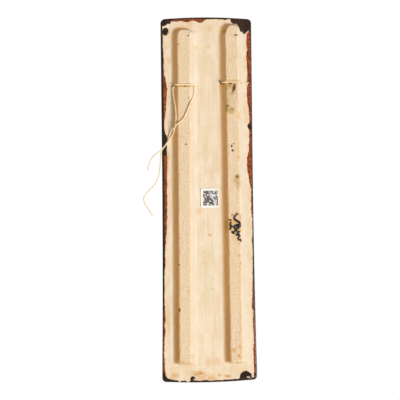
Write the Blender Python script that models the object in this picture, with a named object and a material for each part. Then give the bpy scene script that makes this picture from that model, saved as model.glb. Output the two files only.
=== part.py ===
"""Ceramic wall hanging: a long narrow glazed slab, with two raised ribs on its unglazed back.

Metres, +Z up. The back faces +Y, and y = 0 is the wall, which the ribs' flat backs rest on.
The origin is the hanging point: on the centreline, in that plane, level with the pierced holes.
Places on the back are given as seen from behind: across to the right, up, and the rise above
the slab's back face. Each rib is pierced through its base, and twine is looped through the holes.
"""

import math
from dataclasses import dataclass

import bmesh
import bpy
from mathutils import Vector

GAP = 0.0003

# The slab's outline
TOP_ABOVE_HOLES = 0.0670
FOOT_BELOW_HOLES = 0.2980
TOP_WIDTH = 0.0907
FOOT_WIDTH = 0.0948
FLARE_LENGTH = 0.222
FLARE_ABOVE_FOOT = 0.010
CORNER_RADIUS = 0.0038
TOP_CROWN = 0.0020
FOOT_CROWN = 0.0016
TOP_SLANT = 0.0010
FOOT_SLANT = 0.0015

# The slab's section
SLAB_THICKNESS = 0.011
FRONT_RIM_ROUND = 0.0030
BACK_RIM_ROUND = 0.0012

# The ribs' section, with a concave flank from the top face down to the slab
RIB_PROUD = 0.006
FLANK_POWER = 1.7
FLANK_FOOT_SHARE = 0.94
RIB_SINK = 0.0015

# The pierced holes, and the notches in which the twine crosses the ribs
HOLE_DIAMETER = 0.0034
HOLE_RISE = 0.0019
NOTCH_DEPTH = 0.0013
NOTCH_FLOOR_WIDTH = 0.0028
NOTCH_MOUTH_WIDTH = 0.0036

# The twine, and the paper label
STRING_DIAMETER = 0.0012
STRING_RESTS = STRING_DIAMETER / 2 + GAP
LABEL_WIDTH = 0.0178
LABEL_HEIGHT = 0.0191
LABEL_THICKNESS = 0.0002
LABEL_CORNER = 0.0018
LABEL_ACROSS = 0.0020
LABEL_UP = -0.1138

# How finely round things are divided
EDGE_STEPS = 10
CORNER_STEPS = 4
SIDE_STEPS = 8
RIM_STEPS = 3
RIB_CORNER_STEPS = 6
FLANK_STEPS = 6
HOLE_SIDES = 24
TAIL_SPACING = 0.0028
LOOP_SPACING = 0.0011

CLAY = (0.84, 0.70, 0.50)
TWINE = (0.76, 0.58, 0.36)
PAPER = (0.90, 0.90, 0.88)


@dataclass(frozen=True)
class Rib:
    """One raised rib: its centreline and width at both ends, its round ends, and its hole.

    The flanks beyond the ends run out over only a share of the run down the sides.
    """

    name: str
    top_centre: float
    foot_centre: float
    top_width: float
    foot_width: float
    top_end: float
    foot_end: float
    top_radius: float
    foot_radius: float
    flank_run: float
    top_run_share: float
    foot_run_share: float
    hole_up: float
    notch_up: float
    string_up: float

    def share_down(self, up):
        return (self.top_end - up) / (self.top_end - self.foot_end)

    def centre(self, up):
        return self.top_centre + (self.foot_centre - self.top_centre) * self.share_down(up)

    def half(self, up):
        return (self.top_width + (self.foot_width - self.top_width) * self.share_down(up)) / 2

    def edge(self, side, up):
        """Where the top face ends on one side, -1 for the left one and 1 for the right one."""
        return self.centre(up) + side * self.half(up)

    def distance(self, across, up):
        """How far outside the top face's round-cornered outline a place is."""
        middle = (self.top_end + self.foot_end) / 2
        radius = self.top_radius if up > middle else self.foot_radius
        beside = abs(across - self.centre(up)) - self.half(up) + radius
        beyond = abs(up - middle) - (self.top_end - self.foot_end) / 2 + radius
        outside = math.hypot(max(beside, 0.0), max(beyond, 0.0))
        return outside + min(max(beside, beyond), 0.0) - radius

    def flank(self, distance):
        """The flank's rise at a distance outside the top face."""
        left = 1 - max(distance, 0.0) / self.flank_run
        return RIB_PROUD * max(left, 0.0) ** FLANK_POWER


LEFT_RIB = Rib(
    name="left_rib",
    top_centre=-0.0222,
    foot_centre=-0.0242,
    top_width=0.0120,
    foot_width=0.0115,
    top_end=0.0545,
    foot_end=-0.2785,
    top_radius=0.0042,
    foot_radius=0.0022,
    flank_run=0.0070,
    top_run_share=0.60,
    foot_run_share=0.30,
    hole_up=-0.0014,
    notch_up=-0.0006,
    string_up=0.0001,
)
RIGHT_RIB = Rib(
    name="right_rib",
    top_centre=0.0253,
    foot_centre=0.0273,
    top_width=0.0116,
    foot_width=0.0117,
    top_end=0.0586,
    foot_end=-0.2780,
    top_radius=0.0056,
    foot_radius=0.0028,
    flank_run=0.0080,
    top_run_share=0.30,
    foot_run_share=0.30,
    hole_up=0.0013,
    notch_up=0.0016,
    string_up=0.0020,
)
RIBS = (LEFT_RIB, RIGHT_RIB)

# How the twine bends from a notch down its flank and into the hole, seen along the rib:
# distance outside the top face as a share of the flank, and rise as a share of the rib
LOOP_LEG = (
    (0.09, 0.937),
    (0.18, 0.928),
    (0.28, 0.850),
    (0.40, 0.740),
    (0.50, 0.620),
    (0.56, 0.500),
    (0.54, 0.380),
    (0.43, 0.317),
)
HOLE_STARTS = 0.20
TWIST_RADIUS = STRING_DIAMETER / 2 + GAP / 2

# The tails' routes as (across, up, lift): lift is how far above resting on the back
SHORT_TAIL_ON_BACK = (
    (-0.0333, -0.0030, 0.0004),
    (-0.0337, -0.0047, 0.0000),
    (-0.0334, -0.0082, 0.0000),
    (-0.0326, -0.0143, 0.0000),
    (-0.0316, -0.0213, 0.0000),
    (-0.0309, -0.0284, 0.0001),
    (-0.0309, -0.0339, 0.0000),
    (-0.0315, -0.0388, 0.0000),
    (-0.0321, -0.0425, 0.0000),
    (-0.0328, -0.0459, 0.0000),
    (-0.0337, -0.0485, 0.0001),
    (-0.0348, -0.0511, 0.0001),
    (-0.0374, -0.0549, 0.0010),
    (-0.0403, -0.0588, 0.0015),
    (-0.0427, -0.0620, 0.0016),
)
LONG_TAIL_ON_BACK = (
    (-0.0126, -0.0030, 0.0004),
    (-0.0124, -0.0050, 0.0000),
    (-0.0127, -0.0100, 0.0000),
    (-0.0139, -0.0137, 0.0001),
    (-0.0155, -0.0170, 0.0004),
    (-0.0171, -0.0209, 0.0001),
    (-0.0191, -0.0255, 0.0000),
    (-0.0213, -0.0305, 0.0000),
    (-0.0233, -0.0340, 0.0000),
    (-0.0258, -0.0366, 0.0000),
    (-0.0294, -0.0396, 0.0008),
    (-0.0323, -0.0427, 0.0020),
    (-0.0341, -0.0445, 0.0019),
    (-0.0357, -0.0463, 0.0010),
    (-0.0371, -0.0492, 0.0001),
    (-0.0382, -0.0528, 0.0000),
    (-0.0398, -0.0568, 0.0000),
    (-0.0420, -0.0602, 0.0000),
    (-0.0440, -0.0631, 0.0000),
)
# Past the slab's edge, as (across, up, rise)
SHORT_TAIL_HANGS = (
    (-0.0454, -0.0647, 0.0024),
    (-0.0498, -0.0681, 0.0018),
    (-0.0545, -0.0719, 0.0008),
    (-0.0575, -0.0771, -0.0002),
    (-0.0590, -0.0810, -0.0009),
    (-0.0596, -0.0851, -0.0016),
)
LONG_TAIL_HANGS = (
    (-0.0457, -0.0664, 0.0006),
    (-0.0464, -0.0707, 0.0000),
    (-0.0470, -0.0782, -0.0010),
    (-0.0475, -0.0838, -0.0018),
    (-0.0489, -0.0914, -0.0026),
    (-0.0513, -0.0966, -0.0032),
    (-0.0544, -0.1013, -0.0037),
    (-0.0586, -0.1055, -0.0041),
    (-0.0620, -0.1093, -0.0044),
    (-0.0640, -0.1133, -0.0047),
    (-0.0638, -0.1165, -0.0049),
    (-0.0615, -0.1210, -0.0052),
    (-0.0589, -0.1250, -0.0055),
    (-0.0569, -0.1283, -0.0057),
    (-0.0554, -0.1306, -0.0059),
)
# The right-hand twine's free end, on the margin beside its rib, as (across, up, lift)
RIGHT_END_ON_BACK = (
    (0.0422, 0.0012, 0.0000),
    (0.0404, 0.0005, 0.0000),
    (0.0382, 0.0008, 0.0000),
    (0.0358, 0.0013, 0.0001),
)


def point(across, up, rise):
    return Vector((-across, rise - RIB_PROUD, up))


def smooth_step(share):
    share = min(max(share, 0.0), 1.0)
    return share * share * (3 - 2 * share)


def half_width(up):
    """Half the slab's width at a height. The sides flare more and more towards the foot."""
    flare_ends = FLARE_ABOVE_FOOT - FOOT_BELOW_HOLES
    down = min(max((flare_ends + FLARE_LENGTH - up) / FLARE_LENGTH, 0.0), 1.0)
    return (TOP_WIDTH + (FOOT_WIDTH - TOP_WIDTH) * down**2) / 2


def top_edge(across):
    share = across / (TOP_WIDTH / 2)
    return TOP_ABOVE_HOLES - TOP_CROWN * share**2 - TOP_SLANT * share / 2


def foot_edge(across):
    share = across / (FOOT_WIDTH / 2)
    return -FOOT_BELOW_HOLES + FOOT_CROWN * share**2 + FOOT_SLANT * share / 2


def arc(centre, radius, start, end, steps):
    """Points (across, up) along an arc, angles in degrees from the across direction."""
    found = []
    for k in range(steps + 1):
        angle = math.radians(start + (end - start) * k / steps)
        found.append((centre[0] + radius * math.cos(angle), centre[1] + radius * math.sin(angle)))
    return found


def between(first, last, steps):
    """Values strictly between two, evenly spaced."""
    return [first + (last - first) * k / steps for k in range(1, steps)]


def slab_outline(inset):
    """The slab's outline, pulled in by inset, as (across, up) round from the left end of the top."""
    top_corner = TOP_WIDTH / 2 - CORNER_RADIUS
    foot_corner = FOOT_WIDTH / 2 - CORNER_RADIUS
    radius = CORNER_RADIUS - inset
    top_left = (-top_corner, top_edge(-top_corner) - CORNER_RADIUS)
    top_right = (top_corner, top_edge(top_corner) - CORNER_RADIUS)
    foot_left = (-foot_corner, foot_edge(-foot_corner) + CORNER_RADIUS)
    foot_right = (foot_corner, foot_edge(foot_corner) + CORNER_RADIUS)
    outline = [(a, top_edge(a) - inset) for a in between(-top_corner, top_corner, EDGE_STEPS)]
    outline += arc(top_right, radius, 90, 0, CORNER_STEPS)
    for up in between(top_right[1], foot_right[1], SIDE_STEPS):
        outline.append((half_width(up) - inset, up))
    outline += arc(foot_right, radius, 0, -90, CORNER_STEPS)
    outline += [(a, foot_edge(a) + inset) for a in between(foot_corner, -foot_corner, EDGE_STEPS)]
    outline += arc(foot_left, radius, 270, 180, CORNER_STEPS)
    for up in between(foot_left[1], top_left[1], SIDE_STEPS):
        outline.append((inset - half_width(up), up))
    outline += arc(top_left, radius, 180, 90, CORNER_STEPS)
    return outline


def rib_outline(rib, spread):
    """A rib's top face outline, spread outwards, as (across, up) round from its top right."""
    corners = (
        (1, rib.top_end, -rib.top_radius, 90),
        (1, rib.foot_end, rib.foot_radius, 0),
        (-1, rib.foot_end, rib.foot_radius, -90),
        (-1, rib.top_end, -rib.top_radius, -180),
    )
    outline = []
    for side, end, inward, start in corners:
        radius = abs(inward)
        up = end + inward
        centre = (rib.edge(side, up) - side * radius, up)
        corner = arc(centre, radius + spread, start, start - 90, RIB_CORNER_STEPS)
        run_share = rib.top_run_share if end == rib.top_end else rib.foot_run_share
        squash = (radius + spread * run_share) / (radius + spread)
        outline += [(a, up + (u - up) * squash) for a, u in corner]
    return outline


def surface_rise(across, up):
    """The rise of the plaque's back at a place, without its notches and holes."""
    inside = half_width(up) - abs(across)
    if inside < 0:
        return -SLAB_THICKNESS
    over_rim = max(BACK_RIM_ROUND - inside, 0.0)
    slab = math.sqrt(BACK_RIM_ROUND**2 - over_rim**2) - BACK_RIM_ROUND
    return max([slab] + [rib.flank(rib.distance(across, up)) for rib in RIBS])


def resting_rise(across, up):
    """The rise of the twine's middle where it just rests on the back, clear by the gap."""
    rings, spokes = 6, 16
    found = surface_rise(across, up) + STRING_RESTS
    for ring in range(1, rings + 1):
        lean = math.pi / 2 * ring / rings
        reach = STRING_RESTS * math.sin(lean)
        for spoke in range(spokes):
            angle = 2 * math.pi * spoke / spokes
            there = surface_rise(across + reach * math.cos(angle), up + reach * math.sin(angle))
            found = max(found, there + STRING_RESTS * math.cos(lean))
    return found


def laid(places):
    """Points for places (across, up, lift) on the back."""
    return [point(a, u, resting_rise(a, u) + lift) for a, u, lift in places]


def smooth_route(route, spacing):
    """Points along a smooth curve through the route's own points."""
    first = route[0] * 2 - route[1]
    last = route[-1] * 2 - route[-2]
    padded = [first, *route, last]
    found = []
    for a, b, c, d in zip(padded, padded[1:], padded[2:], padded[3:]):
        t1 = math.sqrt((b - a).length)
        t2 = t1 + math.sqrt((c - b).length)
        t3 = t2 + math.sqrt((d - c).length)
        steps = max(1, math.ceil((c - b).length / spacing))
        for k in range(steps):
            t = t1 + (t2 - t1) * k / steps
            ab = a * ((t1 - t) / t1) + b * (t / t1)
            bc = b * ((t2 - t) / (t2 - t1)) + c * ((t - t1) / (t2 - t1))
            cd = c * ((t3 - t) / (t3 - t2)) + d * ((t - t2) / (t3 - t2))
            abc = ab * ((t2 - t) / t2) + bc * (t / t2)
            bcd = bc * ((t3 - t) / (t3 - t1)) + cd * ((t - t1) / (t3 - t1))
            found.append(abc * ((t2 - t) / (t2 - t1)) + bcd * ((t - t1) / (t2 - t1)))
    return [*found, route[-1]]


def hole_end(rib, side):
    """How far across the straight part of a strand in the hole reaches, on one side."""
    return rib.edge(side, rib.hole_up) + side * rib.flank_run * HOLE_STARTS


def strand_in_hole(rib, turn):
    """Points through a hole from left to right. Two strands with turns 1 and -1 wind half round
    each other, the first from below the hole's axis to above it."""
    left, right = hole_end(rib, -1), hole_end(rib, 1)
    steps = 8
    found = []
    for k in range(steps + 1):
        share = k / steps
        angle = math.pi * smooth_step((share - 0.1) / 0.8)
        up = rib.hole_up - turn * TWIST_RADIUS * math.cos(angle)
        rise = HOLE_RISE + turn * TWIST_RADIUS * math.sin(angle)
        found.append(point(left + (right - left) * share, up, rise))
    return found


def leg(rib, side, hole_up):
    """Points from a rib's notch down one flank to the mouth of its hole."""
    found = []
    for number, (out, rise) in enumerate(LOOP_LEG):
        share = smooth_step(number / (len(LOOP_LEG) - 1))
        up = rib.string_up + (hole_up - rib.string_up) * share
        across = rib.edge(side, up) + side * rib.flank_run * out
        found.append(point(across, up, RIB_PROUD * rise))
    return found


def across_notch(rib):
    """Points over a rib from right to left, along its notch."""
    rise = RIB_PROUD - NOTCH_DEPTH + STRING_RESTS
    right, left = rib.edge(1, rib.string_up), rib.edge(-1, rib.string_up)
    steps = 5
    inner = between(right, left, steps)
    return [point(across, rib.string_up, rise) for across in inner]


def left_loop_route():
    """The left twine where the rib holds it: through the hole, over the rib and through again."""
    rib = LEFT_RIB
    mouth_up = rib.hole_up + TWIST_RADIUS
    route = strand_in_hole(rib, 1)
    route += reversed(leg(rib, 1, mouth_up))
    route += across_notch(rib)
    route += leg(rib, -1, mouth_up)
    route += strand_in_hole(rib, -1)
    return route


def tail_start(rib, side):
    """The first two points of a tail, face to face with the loop's end and on its line."""
    up = rib.hole_up - TWIST_RADIUS
    start = hole_end(rib, side) + side * GAP
    risen = HOLE_RISE + STRING_DIAMETER / 2
    reach = 1.1 * STRING_DIAMETER
    return [point(start, up, HOLE_RISE), point(start + side * reach, up, risen)]


def short_tail_route():
    free = [point(*place) for place in SHORT_TAIL_HANGS]
    return tail_start(LEFT_RIB, -1) + laid(SHORT_TAIL_ON_BACK) + free


def long_tail_route():
    free = [point(*place) for place in LONG_TAIL_HANGS]
    return tail_start(LEFT_RIB, 1) + laid(LONG_TAIL_ON_BACK) + free


def right_loop_route():
    """The right twine: from its end on the margin, over the rib, and back through the hole."""
    rib = RIGHT_RIB
    route = laid(RIGHT_END_ON_BACK)
    route += reversed(leg(rib, 1, rib.hole_up)[:3])
    route += across_notch(rib)
    route += leg(rib, -1, rib.hole_up)
    left, right = hole_end(rib, -1), hole_end(rib, 1)
    steps = 6
    for k in range(steps + 1):
        route.append(point(left + (right - left) * k / steps, rib.hole_up, HOLE_RISE))
    return route


def material(name, colour, roughness):
    made = bpy.data.materials.new(name)
    made.use_nodes = True
    shader = made.node_tree.nodes["Principled BSDF"]
    shader.inputs["Base Color"].default_value = (*colour, 1.0)
    shader.inputs["Roughness"].default_value = roughness
    shader.inputs["Metallic"].default_value = 0.0
    return made


def add_object(name, data):
    made = bpy.data.objects.new(name, data)
    bpy.context.scene.collection.objects.link(made)
    return made


def loft(name, rings):
    """A closed mesh through rings of points, with a flat face at each end."""
    mesh = bpy.data.meshes.new(name)
    bm = bmesh.new()
    levels = [[bm.verts.new(p) for p in ring] for ring in rings]
    count = len(levels[0])
    for low, high in zip(levels, levels[1:]):
        for k in range(count):
            bm.faces.new((low[k], low[(k + 1) % count], high[(k + 1) % count], high[k]))
    bm.faces.new(levels[0])
    bm.faces.new(levels[-1])
    bmesh.ops.recalc_face_normals(bm, faces=bm.faces)
    bm.to_mesh(mesh)
    bm.free()
    mesh.shade_smooth()
    mesh.set_sharp_from_angle(angle=math.radians(35))
    return add_object(name, mesh)


def slab():
    """The slab, with a wide round at its front rim and a small one at its back rim."""
    rings = []
    for k in range(RIM_STEPS + 1):
        angle = math.pi / 2 * k / RIM_STEPS
        inset = FRONT_RIM_ROUND * (1 - math.sin(angle))
        rise = FRONT_RIM_ROUND * (1 - math.cos(angle)) - SLAB_THICKNESS
        rings.append([point(a, u, rise) for a, u in slab_outline(inset)])
    for k in range(RIM_STEPS + 1):
        angle = math.pi / 2 * k / RIM_STEPS
        inset = BACK_RIM_ROUND * (1 - math.cos(angle))
        rise = -BACK_RIM_ROUND * (1 - math.sin(angle))
        rings.append([point(a, u, rise) for a, u in slab_outline(inset)])
    return loft("ceramic_plaque", rings)


def rib_body(rib):
    """A rib from just inside the slab up to its flat top face."""
    rings = [[point(a, u, RIB_PROUD) for a, u in rib_outline(rib, 0.0)]]
    for k in range(1, FLANK_STEPS + 1):
        spread = rib.flank_run * FLANK_FOOT_SHARE * k / FLANK_STEPS
        rings.append([point(a, u, rib.flank(spread)) for a, u in rib_outline(rib, spread)])
    foot = rib_outline(rib, rib.flank_run * FLANK_FOOT_SHARE)
    rings.append([point(a, u, -RIB_SINK) for a, u in foot])
    return loft(rib.name, rings)


def reach_beyond(rib):
    return rib.half(rib.hole_up) + rib.flank_run + CORNER_RADIUS


def hole_cutter(rib):
    """A round bar along the hole, longer than the rib is wide at its foot."""
    rings = []
    for side in (-1, 1):
        across = rib.centre(rib.hole_up) + side * reach_beyond(rib)
        ring = arc((rib.hole_up, HOLE_RISE), HOLE_DIAMETER / 2, 0, 360, HOLE_SIDES)[:-1]
        rings.append([point(across, up, rise) for up, rise in ring])
    return loft(rib.name + "_hole", rings)


def notch_cutter(rib):
    """A bar across the rib's top with sloping sides, for the twine to lie in."""
    floor = RIB_PROUD - NOTCH_DEPTH
    profile = (
        (-NOTCH_FLOOR_WIDTH / 2, floor),
        (NOTCH_FLOOR_WIDTH / 2, floor),
        (NOTCH_MOUTH_WIDTH / 2, RIB_PROUD),
        (NOTCH_MOUTH_WIDTH / 2, RIB_PROUD + NOTCH_DEPTH),
        (-NOTCH_MOUTH_WIDTH / 2, RIB_PROUD + NOTCH_DEPTH),
        (-NOTCH_MOUTH_WIDTH / 2, RIB_PROUD),
    )
    rings = []
    for side in (-1, 1):
        across = rib.centre(rib.notch_up) + side * reach_beyond(rib)
        rings.append([point(across, rib.notch_up + up, rise) for up, rise in profile])
    return loft(rib.name + "_notch", rings)


def combine(body, other, operation):
    """Joins another object to the body, or cuts it away, and hides it as a tool."""
    modifier = body.modifiers.new(f"{operation.lower()} {other.name}", "BOOLEAN")
    modifier.operation = operation
    modifier.solver = "EXACT"
    modifier.object = other
    other.hide_render = True
    other.display_type = "WIRE"
    other.parent = body


def ceramic_plaque():
    body = slab()
    for rib in RIBS:
        combine(body, rib_body(rib), "UNION")
    for rib in RIBS:
        combine(body, hole_cutter(rib), "DIFFERENCE")
        combine(body, notch_cutter(rib), "DIFFERENCE")
    body.data.materials.append(material("unglazed clay", CLAY, 0.9))
    return body


def paper_label():
    """A thin paper sticker on the slab between the ribs."""
    half_across = LABEL_WIDTH / 2 - LABEL_CORNER
    half_up = LABEL_HEIGHT / 2 - LABEL_CORNER
    outline = []
    for side, end, start in ((1, 1, 90), (1, -1, 0), (-1, -1, -90), (-1, 1, -180)):
        centre = (LABEL_ACROSS + side * half_across, LABEL_UP + end * half_up)
        outline += arc(centre, LABEL_CORNER, start, start - 90, CORNER_STEPS)
    rises = (GAP, GAP + LABEL_THICKNESS)
    label = loft("paper_label", [[point(a, u, rise) for a, u in outline] for rise in rises])
    label.data.materials.append(material("white paper", PAPER, 0.7))
    return label


def string(name, route, spacing, finish):
    """A length of twine as a tube along a smooth curve through its route."""
    points = smooth_route(route, spacing)
    curve = bpy.data.curves.new(name, "CURVE")
    curve.dimensions = "3D"
    curve.bevel_depth = STRING_DIAMETER / 2
    curve.bevel_resolution = 2
    curve.use_fill_caps = True
    spline = curve.splines.new("POLY")
    spline.points.add(len(points) - 1)
    for place, position in zip(spline.points, points):
        place.co = (*position, 1.0)
    curve.materials.append(finish)
    return add_object(name, curve)


def main():
    for old in list(bpy.data.objects):
        bpy.data.objects.remove(old)
    pieces = [ceramic_plaque(), paper_label()]
    strings = (
        ("string_left_loop", left_loop_route(), LOOP_SPACING),
        ("string_left_short_tail", short_tail_route(), TAIL_SPACING),
        ("string_left_long_tail", long_tail_route(), TAIL_SPACING),
        ("string_right_loop", right_loop_route(), LOOP_SPACING),
    )
    for name, route, spacing in strings:
        finish = material(name + " twine", TWINE, 0.85)
        pieces.append(string(name, route, spacing, finish))
    hanging_point = add_object("hanging_point", None)
    for piece in pieces:
        piece.parent = hanging_point


main()
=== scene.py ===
"""The looks of the ceramic wall hanging: glazed ceramic, bare clay, twine and a paper label.

Places on the back are given as in part.py: across to the right as seen from behind, up from the
hanging point, and the rise above the slab's back face. Marks on the back are given by where they
are in the photograph, in its pixels, and on_plaque() turns those into across and up.
"""

import math
from dataclasses import dataclass

import bmesh
import bpy
import numpy as np
from mathutils import Matrix, Vector


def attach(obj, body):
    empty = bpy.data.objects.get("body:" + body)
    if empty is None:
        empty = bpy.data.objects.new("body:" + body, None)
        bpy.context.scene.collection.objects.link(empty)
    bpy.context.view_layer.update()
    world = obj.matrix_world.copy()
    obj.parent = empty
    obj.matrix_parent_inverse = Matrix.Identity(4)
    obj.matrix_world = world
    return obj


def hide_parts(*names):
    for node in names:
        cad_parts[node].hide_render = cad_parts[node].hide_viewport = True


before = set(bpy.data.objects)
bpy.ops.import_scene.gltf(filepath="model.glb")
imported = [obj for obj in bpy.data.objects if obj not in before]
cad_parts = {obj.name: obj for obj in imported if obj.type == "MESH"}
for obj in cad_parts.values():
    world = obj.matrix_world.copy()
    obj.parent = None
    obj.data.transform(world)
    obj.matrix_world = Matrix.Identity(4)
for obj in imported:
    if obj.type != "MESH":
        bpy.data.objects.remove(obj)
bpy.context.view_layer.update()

# The gap between pieces that rest on each other
GAP = 0.0003

# The photograph's frame: pixels, the plaque's centreline and middle height in it, and its tilt
PICTURE = 400
PIXEL = 0.001
MIDDLE_X = 207.75
MIDDLE_Y = 200.0
MIDDLE_UP = -0.1157
TILT = math.radians(0.64)
CAMERA_DISTANCE = 2.6
SENSOR_WIDTH = 36.0
# Each light as (name, direction it comes from, distance, size, power, tint). The key shines from
# the lower right of the back, about 47 degrees above it
LIGHTS = (
    ("key", (-0.62, 0.66, -0.24), 6.0, 2.3, 375.0, (0.98, 0.985, 0.995)),
    ("front_soft", (0.5, -1.0, 0.6), 1.6, 0.9, 16.0, (1.0, 0.98, 0.95)),
)
FLOOR_RADIUS = 0.6
FLOOR_BELOW_FOOT = 0.32
FILL_TINT = (1.0, 0.93, 0.82)
FILL_STRENGTH = 0.44

# The slab, as in part.py
TOP_ABOVE_HOLES = 0.0670
FOOT_BELOW_HOLES = 0.2980
TOP_WIDTH = 0.0907
FOOT_WIDTH = 0.0948
FLARE_LENGTH = 0.222
FLARE_ABOVE_FOOT = 0.010
CORNER_RADIUS = 0.0038
TOP_CROWN = 0.0020
FOOT_CROWN = 0.0016
TOP_SLANT = 0.0010
FOOT_SLANT = 0.0015
SLAB_THICKNESS = 0.011
FRONT_RIM_ROUND = 0.0030
BACK_RIM_ROUND = 0.0012

# The ribs, holes, notches and twine, as in part.py
RIB_PROUD = 0.006
FLANK_POWER = 1.7
HOLE_DIAMETER = 0.0034
HOLE_RISE = 0.0019
NOTCH_DEPTH = 0.0013
NOTCH_FLOOR_WIDTH = 0.0028
NOTCH_MOUTH_WIDTH = 0.0036
STRING_DIAMETER = 0.0012
STRING_RESTS = STRING_DIAMETER / 2 + GAP
TWIST_RADIUS = STRING_DIAMETER / 2 + GAP / 2
LABEL_WIDTH = 0.0178
LABEL_HEIGHT = 0.0191
LABEL_THICKNESS = 0.0002
LABEL_CORNER = 0.0018
LABEL_ACROSS = 0.0020
LABEL_UP = -0.1138
# The printed square on the label, about its middle, and how far the label's corners lift
PRINT_HALF = 0.0075
PRINT_ACROSS = 0.0007
CORNER_LIFT = 0.0003
LABEL_GRID = 49
# The two plies of the twine, and its loose fibres
POINT_SPACING = 0.0004
PLY_RADIUS = 0.00042
PLY_OFF_CENTRE = 0.00024
PLY_SIDES = 7
LAY_LENGTH = 0.0028
FIBRE_SPACING = 0.0022
FIBRE_LENGTHS = (0.0006, 0.0016)
FIBRE_HALF_WIDTH = 0.00003
FIBRE_ROOT = 0.00045


@dataclass(frozen=True)
class Rib:
    """One raised rib, as in part.py. It takes single numbers or whole arrays."""

    top_centre: float
    foot_centre: float
    top_width: float
    foot_width: float
    top_end: float
    foot_end: float
    top_radius: float
    foot_radius: float
    flank_run: float
    top_run_share: float
    foot_run_share: float
    hole_up: float
    notch_up: float
    string_up: float
    # How the rib is worn, which part.py leaves out: how much narrower its hole is at the right,
    # where clay was pushed in, how far its crest is rounded at the head, at the foot and at the
    # foot's very end, how steep its flank is and how far down it turns hollow as in part.py, how
    # much steeper its head is and how far the head's left corner is worn away. Then how strongly
    # shade is painted on its shaded flank, and how far right of the middle the head's painted shade
    # ends
    mouth_filled: float
    head_round: float
    foot_round: float
    foot_end_round: float
    flank_slope: float
    hollow_from: float
    head_steeper: float
    corner_worn: float
    painted_shade_tone: float
    head_shade_ends: float

    def share_down(self, up):
        return (self.top_end - up) / (self.top_end - self.foot_end)

    def centre(self, up):
        return self.top_centre + (self.foot_centre - self.top_centre) * self.share_down(up)

    def half(self, up):
        return (self.top_width + (self.foot_width - self.top_width) * self.share_down(up)) / 2

    def edge(self, side, up):
        return self.centre(up) + side * self.half(up)

    def distance(self, across, up):
        """How far outside the top face's round-cornered outline a place is."""
        middle = (self.top_end + self.foot_end) / 2
        above = up > middle
        radius = np.where(above, self.top_radius, self.foot_radius)
        beside = np.abs(across - self.centre(up)) - self.half(up) + radius
        beyond = np.abs(up - middle) - (self.top_end - self.foot_end) / 2 + radius
        squash = np.where(above, self.top_run_share, self.foot_run_share)
        beyond = np.where(beyond > radius, radius + (beyond - radius) / squash, beyond)
        outside = np.hypot(np.maximum(beside, 0.0), np.maximum(beyond, 0.0))
        return outside + np.minimum(np.maximum(beside, beyond), 0.0) - radius

    def flank(self, distance):
        left = 1 - np.maximum(distance, 0.0) / self.flank_run
        return RIB_PROUD * np.maximum(left, 0.0) ** FLANK_POWER


LEFT_RIB = Rib(
    top_centre=-0.0222,
    foot_centre=-0.0242,
    top_width=0.0120,
    foot_width=0.0115,
    top_end=0.0545,
    foot_end=-0.2785,
    top_radius=0.0042,
    foot_radius=0.0022,
    flank_run=0.0070,
    top_run_share=0.60,
    foot_run_share=0.30,
    hole_up=-0.0014,
    notch_up=-0.0006,
    string_up=0.0001,
    mouth_filled=0.45,
    head_round=0.00035,
    foot_round=0.00075,
    foot_end_round=0.0012,
    flank_slope=1.15,
    hollow_from=0.25,
    head_steeper=1.2,
    corner_worn=0.0003,
    painted_shade_tone=1.0,
    head_shade_ends=0.0060,
)
RIGHT_RIB = Rib(
    top_centre=0.0253,
    foot_centre=0.0273,
    top_width=0.0116,
    foot_width=0.0117,
    top_end=0.0586,
    foot_end=-0.2780,
    top_radius=0.0056,
    foot_radius=0.0028,
    flank_run=0.0080,
    top_run_share=0.30,
    foot_run_share=0.30,
    hole_up=0.0013,
    notch_up=0.0016,
    string_up=0.0020,
    mouth_filled=0.50,
    head_round=0.00025,
    foot_round=0.00065,
    foot_end_round=0.0006,
    flank_slope=1.20,
    hollow_from=2.0,
    head_steeper=0.5,
    corner_worn=0.0018,
    painted_shade_tone=0.93,
    head_shade_ends=0.0005,
)
RIBS = (LEFT_RIB, RIGHT_RIB)
# How softly a worn flank runs out on the slab
FLANK_FILLET = 0.0009

# The glaze's lap on the back: how thick it is and over what width it thins out. How wide its
# black margin is at the left, right and top, and below where the left one is narrow
LAP_THICKNESS = 0.00022
LAP_RUN = 0.0009
DARK_LEFT = 0.0023
DARK_RIGHT = 0.0011
DARK_TOP = 0.0014
DARK_NARROWS_AT = -0.221

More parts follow.
